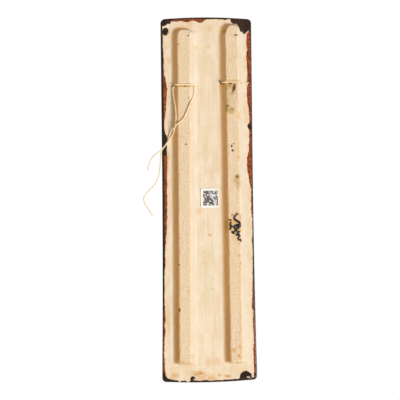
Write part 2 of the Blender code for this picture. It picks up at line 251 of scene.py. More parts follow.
# The twine's routes, as in part.py
LOOP_LEG = (
    (0.09, 0.937), (0.18, 0.928), (0.28, 0.85), (0.4, 0.74), (0.5, 0.62), (0.56, 0.5), (0.54, 0.38),
    (0.43, 0.317),
)
HOLE_STARTS = 0.20
SHORT_TAIL_ON_BACK = (
    (-0.0333, -0.003, 0.0004), (-0.0337, -0.0047, 0.0), (-0.0334, -0.0082, 0.0),
    (-0.0326, -0.0143, 0.0), (-0.0316, -0.0213, 0.0), (-0.0309, -0.0284, 0.0001),
    (-0.0309, -0.0339, 0.0), (-0.0315, -0.0388, 0.0), (-0.0321, -0.0425, 0.0), (-0.0328, -0.0459, 0.0),
    (-0.0337, -0.0485, 0.0001), (-0.0348, -0.0511, 0.0001), (-0.0374, -0.0549, 0.001),
    (-0.0403, -0.0588, 0.0015), (-0.0427, -0.062, 0.0016),
)
LONG_TAIL_ON_BACK = (
    (-0.0126, -0.003, 0.0004), (-0.0124, -0.005, 0.0), (-0.0127, -0.01, 0.0),
    (-0.0139, -0.0137, 0.0001), (-0.0155, -0.017, 0.0004), (-0.0171, -0.0209, 0.0001),
    (-0.0191, -0.0255, 0.0), (-0.0213, -0.0305, 0.0), (-0.0233, -0.034, 0.0), (-0.0258, -0.0366, 0.0),
    (-0.0294, -0.0396, 0.0008), (-0.0323, -0.0427, 0.002), (-0.0341, -0.0445, 0.0019),
    (-0.0357, -0.0463, 0.001), (-0.0371, -0.0492, 0.0001), (-0.0382, -0.0528, 0.0),
    (-0.0398, -0.0568, 0.0), (-0.042, -0.0602, 0.0), (-0.044, -0.0631, 0.0),
)
SHORT_TAIL_HANGS = (
    (-0.0454, -0.0647, 0.0024), (-0.0498, -0.0681, 0.0018), (-0.0545, -0.0719, 0.0008),
    (-0.0575, -0.0771, -0.0002), (-0.059, -0.081, -0.0009), (-0.0596, -0.0851, -0.0016),
)
LONG_TAIL_HANGS = (
    (-0.0457, -0.0664, 0.0006), (-0.0464, -0.0707, 0.0), (-0.047, -0.0782, -0.001),
    (-0.0475, -0.0838, -0.0018), (-0.0489, -0.0914, -0.0026), (-0.0513, -0.0966, -0.0032),
    (-0.0544, -0.1013, -0.0037), (-0.0586, -0.1055, -0.0041), (-0.062, -0.1093, -0.0044),
    (-0.064, -0.1133, -0.0047), (-0.0638, -0.1165, -0.0049), (-0.0615, -0.121, -0.0052),
    (-0.0589, -0.125, -0.0055), (-0.0569, -0.1283, -0.0057), (-0.0554, -0.1306, -0.0059),
)
RIGHT_END_ON_BACK = (
    (0.0422, 0.0012, 0.0), (0.0404, 0.0005, 0.0), (0.0382, 0.0008, 0.0), (0.0358, 0.0013, 0.0001),
)
SHORT_TAIL_LENGTH = 0.0966
LONG_TAIL_LENGTH = 0.1511

# Where the bare clay begins inside the glaze's lap, in pixels, down both sides and along both ends
LEFT_LAP = (
    (162.6, 24), (162.8, 36), (163.1, 50), (163.5, 62), (164.0, 73), (166.2, 83), (167.0, 88),
    (166.6, 100), (165.5, 115), (164.6, 126), (165.2, 133), (167.2, 137), (167.6, 141), (167.0, 146),
    (166.7, 151), (167.2, 156), (167.3, 190), (167.2, 220), (165.9, 242), (165.3, 250), (165.4, 265),
    (164.6, 272), (164.6, 305), (165.6, 318), (164.9, 326), (165.7, 331), (164.9, 339), (164.2, 354),
    (164.5, 361), (165.3, 370), (166.2, 376), (168.4, 380),
)
RIGHT_LAP = (
    (249.0, 31), (246.7, 34), (246.3, 43), (247.4, 50), (246.3, 55), (246.8, 62), (247.1, 71),
    (247.7, 83), (247.0, 90), (247.4, 100), (249.0, 112), (249.4, 122), (247.4, 125.6), (247.6, 127.4),
    (249.4, 130), (249.0, 148), (247.0, 161), (247.0, 168), (248.4, 177), (250.1, 185), (251.2, 190),
    (251.3, 200), (251.0, 208), (251.8, 215), (252.2, 219), (252.3, 240), (252.7, 255), (252.6, 270),
    (252.5, 290), (252.1, 301), (251.6, 307.5), (253.3, 311), (252.9, 319), (253.4, 331), (253.9, 342),
    (253.5, 350), (253.7, 357), (254.0, 369), (253.8, 377),
)
TOP_LAP = (
    (160.0, 27.5), (163.4, 26.4), (165.9, 25.4), (167.7, 24.0), (170.4, 23.6), (170.8, 21.4),
    (173.9, 21.4), (180.2, 21.0), (187.3, 22.0), (193.6, 20.5), (198.0, 22.3), (201.6, 22.8),
    (204.7, 20.5), (206.2, 19.5), (216.0, 19.2), (224.0, 19.4), (225.4, 20.6), (227.4, 19.2),
    (230.2, 19.4), (231.0, 22.3), (232.9, 23.8), (236.4, 24.0), (238.7, 26.8), (240.0, 31.3),
    (242.2, 32.6), (244.0, 34.8), (245.4, 33.5), (247.1, 31.7), (251.0, 29.5),
)
FOOT_LAP = (
    (160.0, 374.0), (165.0, 375.6), (166.2, 377.6), (168.2, 379.0), (170.8, 379.3), (174.0, 380.3),
    (178.3, 380.6), (179.4, 382.6), (180.6, 380.7), (185.6, 380.6), (187.6, 382.4), (189.4, 382.2),
    (191.0, 380.2), (200.0, 380.7), (206.0, 380.2), (214.0, 380.3), (224.0, 379.9), (232.0, 379.3),
    (240.0, 378.3), (252.0, 377.9), (257.0, 377.0),
)
# Round spots of glaze on the clay, as (x, y, half width, half height, how far they stand up)
GLAZE_SPOTS = (
    (165.5, 31.7, 3.2, 4.0, 0.0004), (192.8, 378.8, 2.3, 2.5, 0.001), (245.9, 376.4, 5.9, 5.5, 0.0026),
    (250.4, 378.3, 2.6, 1.6, 0.0003),
)
# Where the lap is thick and black and not thin and rusty, as (x, y, half width, half height)
BLACK_PATCHES = (
    (165.5, 22.0, 7.0, 6.0), (242.0, 23.5, 13.0, 10.5), (165.0, 31.5, 5.0, 5.5),
    (165.0, 136.5, 4.0, 7.0), (165.0, 148.5, 4.5, 7.0), (248.8, 126.6, 3.6, 2.6),
    (246.5, 376.5, 10.0, 7.5), (192.8, 379.0, 4.0, 4.0), (208.0, 381.0, 5.0, 2.0),
    (233.0, 380.5, 10.0, 2.6), (166.0, 378.5, 5.5, 6.0), (175.0, 381.5, 8.0, 2.2),
    (188.0, 381.5, 12.0, 1.8), (216.0, 381.5, 12.0, 2.0), (253.5, 216.0, 2.4, 1.4),
    (254.0, 248.0, 3.4, 33.0), (255.6, 298.0, 1.9, 18.0), (217.5, 18.4, 13.5, 1.5),
)
# Marks in the clay, as (x, y, half width, half height, strength). Among the ochre and dark ones, those
# along the notches beside the strands, round the holes' mouths and on the right rib's shaded head are
# painted shade
OLIVE_STAINS = (
    (229.4, 86.0, 2.6, 2.2, 0.9), (227.0, 88.6, 1.4, 1.8, 0.8), (233.4, 89.0, 2.9, 5.0, 0.6),
    (231.9, 93.6, 1.9, 1.4, 0.8), (227.4, 94.0, 1.9, 7.0, 0.42), (231.0, 99.0, 5.0, 9.0, 0.24),
    (227.6, 101.6, 1.9, 4.0, 0.55), (227.8, 105.9, 2.0, 1.3, 0.9), (227.6, 109.6, 2.0, 2.6, 0.8),
    (231.4, 109.4, 2.8, 1.6, 0.95), (230.6, 111.4, 3.4, 2.2, 0.6), (237.2, 177.0, 2.3, 2.2, 0.95),
    (236.2, 180.6, 2.4, 2.6, 0.6), (238.0, 184.2, 2.4, 3.6, 0.5), (232.6, 215.2, 1.4, 1.4, 0.75),
    (240.3, 217.0, 0.8, 3.0, 0.5), (226.6, 225.0, 1.6, 6.0, 0.55), (237.0, 214.0, 2.0, 1.6, 0.6),
    (236.8, 96.0, 1.6, 3.0, 0.25),
)
OCHRE_STAINS_AND_PAINTED_SHADE = (
    (227.3, 84.4, 1.6, 1.4, 0.45), (233.6, 80.4, 5.4, 0.8, 0.5), (232.7, 112.6, 1.5, 1.2, 0.5),
    (239.1, 115.9, 1.1, 3.4, 0.6), (238.6, 145.0, 0.8, 14.0, 0.35), (238.6, 157.3, 1.1, 1.8, 0.75),
    (198.9, 211.7, 3.0, 3.0, 0.28), (209.8, 235.0, 1.2, 1.2, 0.98), (181.0, 136.4, 1.3, 0.9, 0.55),
    (233.8, 349.7, 1.7, 1.7, 0.8), (240.0, 346.0, 1.4, 1.7, 0.75), (239.0, 355.5, 1.5, 1.7, 0.7),
    (235.2, 222.2, 3.4, 2.6, 0.7), (233.2, 220.4, 1.6, 1.2, 0.8), (229.8, 224.0, 2.6, 5.0, 0.65),
    (240.0, 229.8, 1.5, 1.6, 0.95), (235.8, 233.6, 1.8, 1.6, 0.75), (235.4, 228.5, 3.6, 5.4, 0.66),
    (237.0, 237.0, 4.0, 4.5, 0.35), (239.6, 244.5, 1.0, 1.4, 0.55), (235.4, 251.9, 0.7, 0.8, 0.7),
    (230.0, 252.6, 0.8, 0.8, 0.55), (239.4, 255.6, 1.0, 1.1, 0.95), (240.6, 263.3, 0.7, 1.4, 0.8),
    (189.5, 264.6, 0.7, 0.8, 0.6), (189.5, 272.3, 0.7, 0.9, 0.5), (189.5, 291.1, 0.8, 1.4, 0.65),
    (189.5, 294.4, 0.7, 0.8, 0.55), (204.0, 252.6, 1.0, 0.8, 0.35), (203.6, 263.0, 0.8, 0.8, 0.35),
    (195.4, 47.3, 2.2, 1.4, 0.35), (207.9, 46.4, 2.0, 1.5, 0.38), (169.0, 61.0, 1.5, 3.0, 0.4),
    (209.0, 28.0, 2.4, 2.8, 0.35), (236.6, 57.6, 3.0, 1.0, 0.3), (230.0, 61.0, 2.0, 1.2, 0.28),
    (199.5, 373.6, 5.6, 2.4, 0.7), (203.5, 376.5, 9.0, 3.6, 0.4), (175.2, 376.0, 3.4, 2.6, 0.55),
    (211.6, 378.0, 5.0, 1.8, 0.5), (219.6, 374.9, 1.5, 1.5, 0.7), (227.6, 376.2, 3.0, 1.4, 0.8),
    (208.2, 361.5, 3.0, 3.5, 0.3), (217.0, 361.5, 3.0, 4.0, 0.28), (192.6, 357.0, 2.0, 3.6, 0.3),
    (187.0, 364.0, 7.0, 3.0, 0.28), (167.8, 157.5, 1.1, 5.0, 0.65), (168.2, 166.0, 1.0, 3.0, 0.35),
    (169.0, 326.0, 1.4, 14.0, 0.25), (222.5, 85.8, 2.4, 2.0, 0.45), (224.3, 31.6, 1.9, 1.9, 0.8),
    (183.5, 86.3, 9.0, 0.75, 0.8), (170.8, 86.1, 3.2, 0.6, 0.5), (192.5, 372.0, 2.0, 2.0, 0.3),
)
DARK_MARKS_AND_PAINTED_SHADE = (
    (234.4, 86.0, 1.5, 1.8, 0.62), (233.8, 88.4, 1.3, 2.2, 0.78), (232.8, 91.0, 0.9, 1.4, 0.55),
    (230.4, 83.8, 1.7, 0.8, 0.58), (227.2, 106.2, 1.4, 0.9, 0.45), (237.3, 176.4, 1.2, 1.0, 0.58),
    (231.6, 146.1, 0.8, 1.3, 0.8), (232.6, 150.6, 1.1, 0.9, 0.9), (233.6, 143.8, 0.7, 0.7, 0.7),
    (185.9, 144.4, 1.0, 0.9, 0.6), (188.6, 98.0, 0.9, 0.8, 0.45), (179.7, 309.6, 0.9, 2.0, 0.62),
    (179.3, 264.5, 0.9, 0.9, 0.6), (188.2, 35.8, 1.0, 0.9, 0.58), (189.6, 33.2, 0.8, 0.7, 0.4),
    (178.4, 44.6, 1.0, 0.8, 0.5), (176.2, 43.8, 0.7, 0.6, 0.42), (181.8, 169.5, 0.8, 0.7, 0.4),
    (213.2, 279.6, 0.9, 0.9, 0.42), (213.2, 288.6, 0.9, 0.9, 0.42), (202.5, 45.5, 0.9, 0.8, 0.4),
    (204.0, 51.0, 0.8, 0.8, 0.38), (235.4, 35.4, 1.9, 0.6, 0.9), (184.8, 86.4, 1.3, 0.6, 0.48),
    (174.2, 85.8, 1.9, 1.0, 0.55), (224.2, 31.3, 1.0, 0.9, 0.36), (221.3, 82.8, 1.3, 1.2, 0.85),
    (219.6, 80.8, 0.8, 0.9, 0.45), (200.4, 373.4, 2.6, 0.6, 0.45), (196.0, 374.6, 1.6, 0.6, 0.42),
    (204.6, 369.0, 0.8, 0.7, 0.48), (228.4, 376.0, 1.0, 0.6, 0.42), (183.3, 361.8, 1.2, 0.6, 0.45),
    (178.0, 362.6, 0.7, 0.9, 0.45), (238.0, 362.4, 1.4, 0.5, 0.45), (236.4, 365.2, 0.7, 0.6, 0.42),
    (226.0, 318.6, 1.3, 0.7, 0.42), (241.0, 329.2, 0.7, 0.6, 0.42), (216.6, 84.4, 0.7, 0.6, 0.2),
    (239.4, 255.6, 0.6, 0.7, 0.44), (240.7, 263.3, 0.5, 0.9, 0.42), (189.5, 291.1, 0.6, 0.8, 0.38),
    (185.5, 216.4, 0.6, 0.6, 0.36), (183.8, 248.6, 0.6, 0.6, 0.36), (203.9, 252.6, 0.6, 0.6, 0.3),
)
# Black, shiny residue on the right rib, as (x, y) along each stroke, thick ones and thin ones
THICK_TRAILS = (
    ((234.7, 216.4), (234.2, 218.0), (234.9, 219.6), (237.0, 220.9), (239.3, 222.2), (239.9, 224.6)),
    ((239.9, 224.6), (239.8, 226.4), (238.2, 228.0)),
    ((239.6, 225.2), (236.6, 224.8), (234.6, 226.0), (234.6, 228.2), (236.6, 229.8), (238.0, 228.2)),
    ((236.4, 226.4), (238.0, 226.2)),
    ((230.7, 222.9), (230.3, 224.8), (231.4, 226.6), (230.2, 228.8)),
    ((232.2, 231.8), (233.5, 233.0), (234.9, 231.6), (236.0, 229.8)),
    ((239.2, 231.8), (237.8, 232.6), (238.6, 234.4), (239.4, 236.2)),
    ((236.6, 234.6), (238.6, 234.4)),
)
THIN_TRAILS = (
    ((237.3, 213.7), (235.6, 215.0), (234.7, 216.4)),
    ((231.4, 226.6), (234.6, 226.4)),
    ((229.6, 219.7), (230.9, 220.2)),
    ((237.0, 229.8), (237.6, 231.2)),
    ((239.2, 236.2), (237.7, 238.0), (238.6, 239.8), (240.3, 239.2), (240.8, 241.2)),
)
CRACKS = (
    ((236.0, 328.0), (235.4, 336.0), (235.9, 342.0), (235.2, 349.0)),
    ((238.2, 331.0), (238.0, 340.0)),
    ((233.2, 320.0), (231.6, 330.0), (233.0, 334.0)),
    ((228.4, 34.6), (231.5, 33.4), (234.2, 35.0), (237.6, 35.6), (240.4, 33.4)),
    ((179.8, 364.9), (181.8, 363.8), (183.6, 361.4)),
    ((175.4, 367.2), (180.0, 367.1)),
)
# Every kind of trail, as (trails, rise, half width in pixels, half width painted, its strength)
TRAILS = (
    (CRACKS, -0.00016, 0.5, 0.45, 0.34),
    (THICK_TRAILS, 0.00050, 1.0, 1.30, 1.0),
    (THIN_TRAILS, 0.00025, 0.7, 0.95, 0.92),
)
# Small hollows in the clay, as (x, y, radius, depth)
PITS = (
    (234.2, 86.8, 1.3, 0.0006), (233.4, 89.4, 1.2, 0.0006), (235.4, 35.4, 1.4, 0.0005),
    (231.6, 146.1, 0.9, 0.0003), (232.6, 150.6, 0.9, 0.0003), (213.2, 279.6, 0.9, 0.0002),
    (213.2, 288.6, 0.9, 0.0002), (202.5, 45.5, 0.9, 0.0002), (185.9, 144.4, 0.9, 0.0002),
    (188.2, 35.8, 1.2, 0.0003), (252.6, 308.0, 1.6, 0.0005), (248.6, 126.8, 1.8, 0.0003),
    (188.6, 362.8, 3.0, 0.0003),
)


def point(across, up, rise):
    return Vector((-across, rise - RIB_PROUD, up))


def on_plaque(x, y):
    """Across and up, in metres, for a place in the photograph."""
    right = (x - MIDDLE_X) * PIXEL
    down = (y - MIDDLE_Y) * PIXEL
    across = right * math.cos(TILT) - down * math.sin(TILT)
    up = -right * math.sin(TILT) - down * math.cos(TILT)
    return across, up + MIDDLE_UP


def smooth_step(share):
    share = np.clip(share, 0.0, 1.0)
    return share * share * (3 - 2 * share)


def half_width(up):
    flare_ends = FLARE_ABOVE_FOOT - FOOT_BELOW_HOLES
    down = np.clip((flare_ends + FLARE_LENGTH - up) / FLARE_LENGTH, 0.0, 1.0)
    return (TOP_WIDTH + (FOOT_WIDTH - TOP_WIDTH) * down**2) / 2


def top_edge(across):
    share = across / (TOP_WIDTH / 2)
    return TOP_ABOVE_HOLES - TOP_CROWN * share**2 - TOP_SLANT * share / 2


def foot_edge(across):
    share = across / (FOOT_WIDTH / 2)
    return -FOOT_BELOW_HOLES + FOOT_CROWN * share**2 + FOOT_SLANT * share / 2


# Noise for shapes and edges

def lattice_noise(x, y, seed):
    """Smooth noise from -1 to 1 that changes over about one unit of x and y."""
    table = np.random.default_rng(seed).uniform(-1, 1, (128, 128))
    column, row = np.floor(x).astype(int), np.floor(y).astype(int)
    right, above = smooth_step(x - column), smooth_step(y - row)
    low = table[row % 128, column % 128] * (1 - right)
    low = low + table[row % 128, (column + 1) % 128] * right
    high = table[(row + 1) % 128, column % 128] * (1 - right)
    high = high + table[(row + 1) % 128, (column + 1) % 128] * right
    return low * (1 - above) + high * above


def layered_noise(across, up, size, seed, layers=3):
    """Noise in features of a size, in metres, with finer and fainter ones on top."""
    total = 0.0
    for layer in range(layers):
        scale = 2**layer / size
        total = total + lattice_noise(across * scale + 40, up * scale + 400, seed + layer) / 2**layer
    return total


# The twine's routes

def surface_rise(across, up):
    """The rise of the plaque's back at a place, without its notches and holes."""
    inside = half_width(up) - abs(across)
    if inside < 0:
        return -SLAB_THICKNESS
    over_rim = max(BACK_RIM_ROUND - inside, 0.0)
    slab = math.sqrt(BACK_RIM_ROUND**2 - over_rim**2) - BACK_RIM_ROUND
    return max([slab] + [float(rib.flank(rib.distance(across, up))) for rib in RIBS])


def resting_rise(across, up):
    """The rise of the twine's middle where it just rests on the back, clear by the gap."""
    rings, spokes = 6, 16
    found = surface_rise(across, up) + STRING_RESTS
    for ring in range(1, rings + 1):
        lean = math.pi / 2 * ring / rings
        reach = STRING_RESTS * math.sin(lean)
        for spoke in range(spokes):
            angle = 2 * math.pi * spoke / spokes
            there = surface_rise(across + reach * math.cos(angle), up + reach * math.sin(angle))
            found = max(found, there + STRING_RESTS * math.cos(lean))
    return found


def laid(places):
    return [point(a, u, resting_rise(a, u) + lift) for a, u, lift in places]


def smooth_route(route, spacing):
    """Points along a smooth curve through the route's own points."""
    first = route[0] * 2 - route[1]
    last = route[-1] * 2 - route[-2]
    padded = [first, *route, last]
    found = []
    for a, b, c, d in zip(padded, padded[1:], padded[2:], padded[3:]):
        t1 = math.sqrt((b - a).length)
        t2 = t1 + math.sqrt((c - b).length)
        t3 = t2 + math.sqrt((d - c).length)
        steps = max(1, math.ceil((c - b).length / spacing))
        for k in range(steps):
            t = t1 + (t2 - t1) * k / steps
            ab = a * ((t1 - t) / t1) + b * (t / t1)
            bc = b * ((t2 - t) / (t2 - t1)) + c * ((t - t1) / (t2 - t1))
            cd = c * ((t3 - t) / (t3 - t2)) + d * ((t - t2) / (t3 - t2))
            abc = ab * ((t2 - t) / t2) + bc * (t / t2)
            bcd = bc * ((t3 - t) / (t3 - t1)) + cd * ((t - t1) / (t3 - t1))
            found.append(abc * ((t2 - t) / (t2 - t1)) + bcd * ((t - t1) / (t2 - t1)))
    return [*found, route[-1]]


def hole_end(rib, side):
    return rib.edge(side, rib.hole_up) + side * rib.flank_run * HOLE_STARTS


def strand_in_hole(rib, turn):
    left, right = hole_end(rib, -1), hole_end(rib, 1)
    steps = 8
    found = []
    for k in range(steps + 1):
        share = k / steps
        angle = math.pi * float(smooth_step((share - 0.1) / 0.8))
        up = rib.hole_up - turn * TWIST_RADIUS * math.cos(angle)
        rise = HOLE_RISE + turn * TWIST_RADIUS * math.sin(angle)
        found.append(point(left + (right - left) * share, up, rise))
    return found


def leg(rib, side, hole_up):
    found = []
    for number, (out, rise) in enumerate(LOOP_LEG):
        share = float(smooth_step(number / (len(LOOP_LEG) - 1)))
        up = rib.string_up + (hole_up - rib.string_up) * share
        across = rib.edge(side, up) + side * rib.flank_run * out
        found.append(point(across, up, RIB_PROUD * rise))
    return found


def across_notch(rib):
    rise = RIB_PROUD - NOTCH_DEPTH + STRING_RESTS
    right, left = rib.edge(1, rib.string_up), rib.edge(-1, rib.string_up)
    steps = 5
    inner = [right + (left - right) * k / steps for k in range(1, steps)]
    return [point(across, rib.string_up, rise) for across in inner]


def left_loop_route():
    rib = LEFT_RIB
    mouth_up = rib.hole_up + TWIST_RADIUS
    route = strand_in_hole(rib, 1)
    route += reversed(leg(rib, 1, mouth_up))
    route += across_notch(rib)
    route += leg(rib, -1, mouth_up)
    route += strand_in_hole(rib, -1)
    return route


def tail_start(rib, side):
    up = rib.hole_up - TWIST_RADIUS
    start = hole_end(rib, side) + side * GAP
    risen = HOLE_RISE + STRING_DIAMETER / 2
    reach = 1.1 * STRING_DIAMETER
    return [point(start, up, HOLE_RISE), point(start + side * reach, up, risen)]


def short_tail_route():
    free = [point(*place) for place in SHORT_TAIL_HANGS]
    return tail_start(LEFT_RIB, -1) + laid(SHORT_TAIL_ON_BACK) + free


def long_tail_route():
    free = [point(*place) for place in LONG_TAIL_HANGS]
    return tail_start(LEFT_RIB, 1) + laid(LONG_TAIL_ON_BACK) + free


def right_loop_route():
    rib = RIGHT_RIB
    route = laid(RIGHT_END_ON_BACK)
    route += reversed(leg(rib, 1, rib.hole_up)[:3])
    route += across_notch(rib)
    route += leg(rib, -1, rib.hole_up)
    left, right = hole_end(rib, -1), hole_end(rib, 1)
    steps = 6
    for k in range(steps + 1):
        route.append(point(left + (right - left) * k / steps, rib.hole_up, HOLE_RISE))
    return route


# Small makers

def link(name, data):
    made = bpy.data.objects.new(name, data)
    bpy.context.scene.collection.objects.link(made)
    return made


class Nodes:
    """A few short calls that add and join a material's nodes."""

    def __init__(self, name):
        self.material = bpy.data.materials.new(name)
        self.material.use_nodes = True
        self.nodes, self.links = self.material.node_tree.nodes, self.material.node_tree.links
        self.shader = self.nodes["Principled BSDF"]

    def add(self, kind, **settings):
        node = self.nodes.new(kind)
        for key, value in settings.items():
            setattr(node, key, value)
        return node

    def feed(self, socket, value):
        if isinstance(value, bpy.types.NodeSocket):
            self.links.new(value, socket)
        else:
            socket.default_value = value

    def fill(self, node, **values):
        """Feeds a node's inputs by name, with _ for each space in the name."""
        for name, value in values.items():
            self.feed(node.inputs[name.replace("_", " ")], value)

    def attribute(self, name):
        return self.add("ShaderNodeAttribute", attribute_name=name).outputs["Fac"]

    def place(self, scale, turn=(0, 0, 0)):
        """The object's own coordinates, turned and stretched by a scale for each of X, Y and Z."""
        mapping = self.add("ShaderNodeMapping")
        coordinates = self.add("ShaderNodeTexCoord").outputs["Object"]
        self.fill(mapping, Vector=coordinates, Rotation=turn, Scale=scale)
        return mapping.outputs["Vector"]

    def noise(self, scale, detail=4.0, roughness=0.5):
        scale = scale if isinstance(scale, tuple) else (scale, scale, scale)
        node = self.add("ShaderNodeTexNoise")
        self.fill(node, Vector=self.place(scale), Scale=1.0, Detail=detail, Roughness=roughness)
        return node.outputs["Fac"]

    def math(self, operation, first, second, clamp=False):
        node = self.add("ShaderNodeMath", operation=operation, use_clamp=clamp)
        self.feed(node.inputs[0], first)
        self.feed(node.inputs[1], second)
        return node.outputs[0]

    def times(self, first, second, clamp=False):
        return self.math("MULTIPLY", first, second, clamp)

    def plus(self, first, second, clamp=False):
        return self.math("ADD", first, second, clamp)

    def swing(self, noise, size):
        """A noise moved to swing about nothing, and scaled."""
        return self.times(self.math("SUBTRACT", noise, 0.5), size)

    def ramp(self, value, low, high, to_low=0.0, to_high=1.0):
        node = self.add("ShaderNodeMapRange", interpolation_type="SMOOTHSTEP")
        self.fill(node, Value=value, From_Min=low, From_Max=high, To_Min=to_low, To_Max=to_high)
        return node.outputs["Result"]

    def mix(self, share, first, second):
        node = self.add("ShaderNodeMix", data_type="RGBA")
        self.feed(node.inputs["Factor"], share)
        self.feed(node.inputs[6], first)
        self.feed(node.inputs[7], second)
        return node.outputs[2]

    def mix_value(self, share, first, second):
        node = self.add("ShaderNodeMix", data_type="FLOAT")
        self.feed(node.inputs["Factor"], share)
        self.feed(node.inputs[2], first)
        self.feed(node.inputs[3], second)
        return node.outputs[0]

    def bump(self, height, depth):
        node = self.add("ShaderNodeBump")
        self.fill(node, Strength=1.0, Distance=depth, Height=height)
        return node.outputs["Normal"]


def colour(red, green, blue):
    """A colour given as it looks on screen, from 0 to 255."""
    def linear(value):
        share = value / 255
        return share / 12.92 if share <= 0.04045 else ((share + 0.055) / 1.055) ** 2.4

    return (linear(red), linear(green), linear(blue), 1.0)


# The plaque's surface

def lap_width(across, up):
    """How far inside the glaze a place on the back is, in metres, and under 0 on bare clay."""
    def along(places, by):
        found = sorted(on_plaque(x, y)[::by] for x, y in places)
        return [f[0] for f in found], [f[1] for f in found]

    wander = layered_noise(across, up, 0.0035, 11, 3) * 0.00035
    left = np.interp(up, *along(LEFT_LAP, -1)) - across
    right = across - np.interp(up, *along(RIGHT_LAP, -1))
    top = up - np.interp(across, *along(TOP_LAP, 1))
    foot = np.interp(across, *along(FOOT_LAP, 1)) - up
    found = np.maximum(np.maximum(left, right), np.maximum(top, foot)) + wander
    return np.maximum(found, spot_distance(across, up, GLAZE_SPOTS) + wander * 0.6)


def lap_rise(across, up):
    return LAP_THICKNESS * smooth_step(lap_width(across, up) / LAP_RUN)


def reach_out(across, up, x, y, half_wide, half_high):
    """How far from an oval mark's middle a place is, with 1 on the mark's outline."""
    a, u = on_plaque(x, y)
    return np.hypot((across - a) / half_wide, (up - u) / half_high) / PIXEL


def spot_distance(across, up, spots):
    """How far inside the nearest of some oval spots a place is, in metres."""
    found = np.full_like(across, -1.0)
    for x, y, half_wide, half_high, *_ in spots:
        inside = 1 - reach_out(across, up, x, y, half_wide, half_high)
        found = np.maximum(found, inside * min(half_wide, half_high) * PIXEL)
    return found


def blots(across, up, marks):
    """Soft round marks, each fading from its strength at its middle to nothing."""
    found = np.zeros_like(across)
    for *oval, strength in marks:
        share = smooth_step(1.35 - reach_out(across, up, *oval) * 0.75)
        found = np.maximum(found, strength * share)
    return found


def trail_depth(across, up, trails, half_wide):
    """1 on a thin winding line, fading to 0 at half_wide pixels from it."""
    nearest = np.full_like(across, 1.0)
    for trail in trails:
        places = [on_plaque(x, y) for x, y in trail]
        for (a, u), (b, v) in zip(places, places[1:]):
            length = (b - a) ** 2 + (v - u) ** 2
            share = np.clip(((across - a) * (b - a) + (up - u) * (v - u)) / length, 0, 1)
            off = np.hypot(across - a - (b - a) * share, up - u - (v - u) * share)
            nearest = np.minimum(nearest, off)
    return smooth_step(1.4 - nearest / (half_wide * PIXEL))


def softly_over(value, softness):
    """The value where it is well above 0, running out softly to 0 below that."""
    share = np.clip(value / softness, -40, 40)
    return softness * np.log1p(np.exp(share))


def worn_flank(rib, distance, up):
    """The rise of a rib's flank and top face, with its crest worn round."""
    down = np.clip(rib.share_down(up), 0, 1)
    softness = rib.head_round + (rib.foot_round - rib.head_round) * down
    softness = softness + rib.foot_end_round * smooth_step((rib.foot_end + 0.004 - up) / 0.004)
    distance = softly_over(distance, softness) - 0.2 * softness
    straight = softly_over(RIB_PROUD - rib.flank_slope * distance, FLANK_FILLET)
    hollow = smooth_step((down - rib.hollow_from) / 0.3)
    return np.minimum(straight, RIB_PROUD) * (1 - hollow) + rib.flank(distance) * hollow


def worn_distance(rib, across, up):
    """How far outside a rib's top face a place is, with the rib's head worn."""
    head = smooth_step((up - rib.top_end + 0.003) / 0.004)
    distance = rib.distance(across, up) * (1 + rib.head_steeper * head)
    left = smooth_step((rib.centre(up) - across) / 0.005)
    return distance + rib.corner_worn * left * smooth_step((up - rib.top_end + 0.010) / 0.008)


def back_rise(across, up):
    """The rise of the whole back at every place, with its ribs, notches, lap and wear."""
    rise = 0.00010 * layered_noise(across, up, 0.022, 21, 2)
    rise = rise + 0.00004 * layered_noise(across, up, 0.003, 25, 2)
    notch_slope = NOTCH_DEPTH / ((NOTCH_MOUTH_WIDTH - NOTCH_FLOOR_WIDTH) / 2)
    for seed, rib in enumerate(RIBS):
        distance = worn_distance(rib, across, up)
        ragged = 0.00020 * layered_noise(across, up, 0.006, 31 + seed, 3)
        flank = worn_flank(rib, distance + ragged, up)
        dragged = 0.00008 * layered_noise(across, up * 0.25, 0.0016, 41 + seed, 2)
        flank = flank + np.where(distance < 0, dragged - 0.00010, dragged)
        near = 1 - smooth_step((distance / rib.flank_run - 0.7) / 0.3)
        rise = np.maximum(rise, flank * near + rise * (1 - near))
        beside = np.maximum(np.abs(up - rib.notch_up) - NOTCH_FLOOR_WIDTH / 2, 0.0)
        notch = RIB_PROUD - NOTCH_DEPTH + beside * notch_slope
        rise = np.where(distance < rib.flank_run, np.minimum(rise, notch), rise)
    rise = rise + lap_rise(across, up)
    for spot in GLAZE_SPOTS:
        half = min(spot[2], spot[3]) * PIXEL
        reach = 1 - np.clip(spot_distance(across, up, (spot,)) / half, 0.0, 1.0)
        rise = rise + spot[4] * (0.35 * (1 - reach**2) + 0.65 * (1 - reach))
    for x, y, radius, depth in PITS:
        rise = rise - depth * smooth_step(1.3 - reach_out(across, up, x, y, radius, radius))
    for trails, height, half_wide, *_ in TRAILS:
        rise = rise + height * trail_depth(across, up, trails, half_wide)
    # The back is flat under the label
    inside = half_width(up) > np.abs(across)
    from_label = np.hypot(across - LABEL_ACROSS, up - LABEL_UP)
    return rise * inside * (1 - smooth_step((0.0125 - from_label) / 0.002 + 1))


def spaced(stops):
    """Values from stops given as (up to here, spacing), the first being where they start."""
    found = [stops[0][0]]
    for end, spacing in stops[1:]:
        steps = max(1, round((end - found[-1]) / spacing))
        start = found[-1]
        found += [start + (end - start) * (k + 1) / steps for k in range(steps)]
    return np.array(found)


